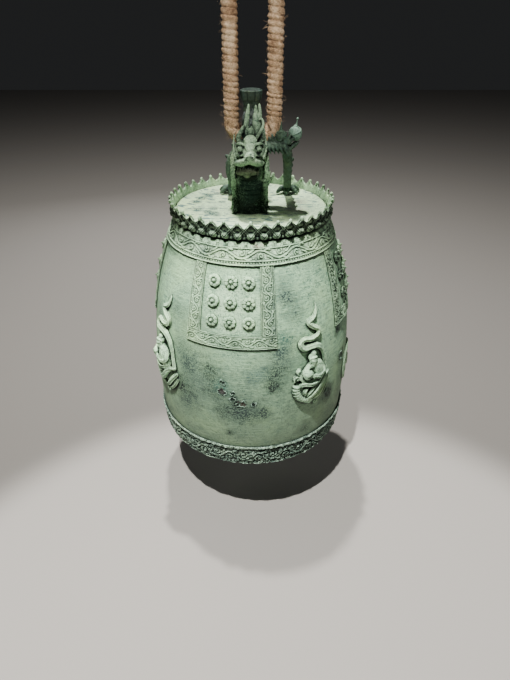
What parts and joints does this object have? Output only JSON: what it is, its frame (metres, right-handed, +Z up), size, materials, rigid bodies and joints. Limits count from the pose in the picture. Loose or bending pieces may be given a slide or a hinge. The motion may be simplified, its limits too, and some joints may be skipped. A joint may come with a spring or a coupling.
{
  "type": "bronze temple bell",
  "caption": "Barrel-shaped cast bronze temple bell with a dragon loop, sound pipe and raised bands, hung from a rope sling and rocking under it.",
  "frame": {"origin": "inside the top bight of the rope sling, where the hook bears", "axes": "+Z up along the hanging line; the dragon's head looks along -Y; X runs across both legs of the sling"},
  "size_m": [0.37, 0.364, 0.7689],
  "materials": {
    "bronze": "pale green corroded bronze, dull and mottled",
    "dark_bronze": "darker green corroded bronze, dull",
    "rope": "rough plant-fibre rope wound with twine"
  },
  "bodies": {
    "sling": {"rope_sling": "rope"},
    "bell": {"bell_shell": "bronze", "crown_plate": "bronze", "petal_rim": "bronze", "upper_band": "bronze", "lower_band": "dark_bronze", "nipple_panel_front": "bronze", "nipple_front_11": "bronze", "nipple_front_12": "bronze", "nipple_front_13": "bronze", "nipple_front_21": "bronze", "nipple_front_22": "bronze", "nipple_front_23": "bronze", "nipple_front_31": "bronze", "nipple_front_32": "bronze", "nipple_front_33": "bronze", "cloud_figure_front": "bronze", "nipple_panel_right": "bronze", "nipple_right_11": "bronze", "nipple_right_12": "bronze", "nipple_right_13": "bronze", "nipple_right_21": "bronze", "nipple_right_22": "bronze", "nipple_right_23": "bronze", "nipple_right_31": "bronze", "nipple_right_32": "bronze", "nipple_right_33": "bronze", "cloud_figure_right": "bronze", "striking_seat_right": "bronze", "nipple_panel_back": "bronze", "nipple_back_11": "bronze", "nipple_back_12": "bronze", "nipple_back_13": "bronze", "nipple_back_21": "bronze", "nipple_back_22": "bronze", "nipple_back_23": "bronze", "nipple_back_31": "bronze", "nipple_back_32": "bronze", "nipple_back_33": "bronze", "cloud_figure_back": "bronze", "nipple_panel_left": "bronze", "nipple_left_11": "bronze", "nipple_left_12": "bronze", "nipple_left_13": "bronze", "nipple_left_21": "bronze", "nipple_left_22": "bronze", "nipple_left_23": "bronze", "nipple_left_31": "bronze", "nipple_left_32": "bronze", "nipple_left_33": "bronze", "cloud_figure_left": "bronze", "striking_seat_left": "bronze", "dragon_head": "bronze", "dragon_jaw": "bronze", "dragon_neck": "bronze", "dragon_leg_right": "bronze", "dragon_leg_left": "bronze", "dragon_pearl": "bronze", "sound_pipe": "bronze"}
  },
  "joints": [
    {"name": "bell_rock", "type": "hinge", "parent": "sling", "child": "bell", "pos_m": [0, 0, -0.216], "axis": [1, 0, 0], "range_deg": [-8, 8]}
  ]
}
